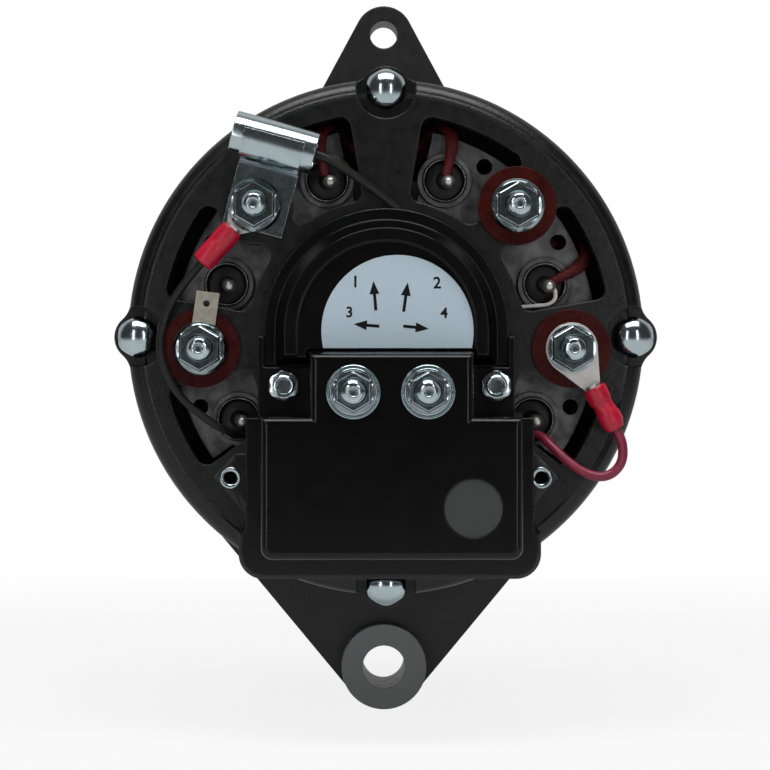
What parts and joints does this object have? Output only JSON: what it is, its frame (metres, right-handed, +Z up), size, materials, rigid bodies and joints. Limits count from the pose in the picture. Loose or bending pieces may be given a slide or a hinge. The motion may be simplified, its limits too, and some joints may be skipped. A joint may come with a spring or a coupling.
{
  "type": "alternator",
  "caption": "Belt-driven alternator: round vented frame, adjusting ear above, pivot lug below, boxed regulator and terminal studs at the rear, fan and V pulley in front.",
  "frame": {"origin": "on the axis of the pivot bore, at the middle of the pivot lug's length", "axes": "+Z up from the pivot bore to the adjusting ear, +Y along the pivot bore and the rotor axis towards the pulley, +X to the right as seen from the regulator side; the regulator faces -Y"},
  "size_m": [0.1498, 0.1839, 0.2112],
  "materials": {
    "black_casting": "black satin paint on a sand-cast skin",
    "gloss_black": "gloss black",
    "black_moulding": "moulded, matte",
    "potting": "cured potting resin, matte",
    "zinc_steel": "bright zinc plate",
    "machined_steel": "turned steel",
    "bearing_steel": "ground",
    "lamination_steel": "varnished laminations",
    "plated_aluminium": "plated, dull",
    "enamelled_copper": "varnished enamelled wire",
    "bare_copper": "turned copper",
    "carbon": "pressed carbon",
    "red_washer": "dark red-brown moulding",
    "red_sleeving": "woven sleeving",
    "crimson_sleeve": "soft vinyl",
    "red_cable": "vinyl cable",
    "black_cable": "vinyl cable",
    "label": "matt printed plate"
  },
  "bodies": {
    "stator_frame": {"bearing_cover": "gloss_black", "bearing_retainer": "zinc_steel", "blade_terminal": "zinc_steel", "brush_holder": "black_moulding", "brush_spring_a": "zinc_steel", "brush_spring_b": "zinc_steel", "capacitor_bracket": "zinc_steel", "capacitor_can": "zinc_steel", "capacitor_lead": "black_cable", "capacitor_seal": "potting", "diodes": "zinc_steel", "front_bearing_outer_ring": "bearing_steel", "front_housing": "black_casting", "insulating_washers": "red_washer", "label_plate": "label", "left_crimp_sleeve": "crimson_sleeve", "left_heat_sink": "plated_aluminium", "left_lead": "black_cable", "left_ring_terminal": "zinc_steel", "phase_leads": "red_sleeving", "rear_bearing_outer_ring": "bearing_steel", "rear_housing": "black_casting", "regulator_base": "gloss_black", "regulator_case": "gloss_black", "regulator_nuts": "zinc_steel", "regulator_plug": "potting", "regulator_screws": "zinc_steel", "regulator_studs": "zinc_steel", "regulator_washers": "zinc_steel", "retainer_screws": "zinc_steel", "right_crimp_sleeve": "crimson_sleeve", "right_heat_sink": "plated_aluminium", "right_lead": "red_cable", "right_ring_terminal": "zinc_steel", "stator_core": "lamination_steel", "stator_windings": "enamelled_copper", "terminal_nuts": "zinc_steel", "terminal_studs": "zinc_steel", "through_bolts": "zinc_steel", "tubular_rivets": "zinc_steel"},
    "rotor": {"shaft": "machined_steel", "front_claw_pole": "machined_steel", "rear_claw_pole": "machined_steel", "field_coil": "enamelled_copper", "coil_bobbin": "black_moulding", "slip_rings": "bare_copper", "slip_ring_sleeve": "black_moulding", "fan_spacer": "machined_steel", "fan": "zinc_steel", "pulley": "machined_steel", "pulley_key": "machined_steel", "lock_washer": "zinc_steel", "pulley_nut": "zinc_steel", "front_bearing_inner_ring": "bearing_steel", "rear_bearing_inner_ring": "bearing_steel"},
    "brush_a": {"brush_a": "carbon"},
    "brush_b": {"brush_b": "carbon"}
  },
  "joints": [
    {"name": "rotor_spin", "type": "hinge", "parent": "stator_frame", "child": "rotor", "pos_m": [0, 0, 0.0974], "axis": [0, 1, 0], "continuous": true},
    {"name": "brush_a_slide", "type": "slide", "parent": "stator_frame", "child": "brush_a", "axis": [0, 0, -1], "range_m": [0, 0.003], "stiffness_N_per_m": 150, "springref_m": -0.012, "deforming": ["brush_spring_a"]},
    {"name": "brush_b_slide", "type": "slide", "parent": "stator_frame", "child": "brush_b", "axis": [0, 0, -1], "range_m": [0, 0.003], "stiffness_N_per_m": 150, "springref_m": -0.012, "deforming": ["brush_spring_b"]}
  ]
}
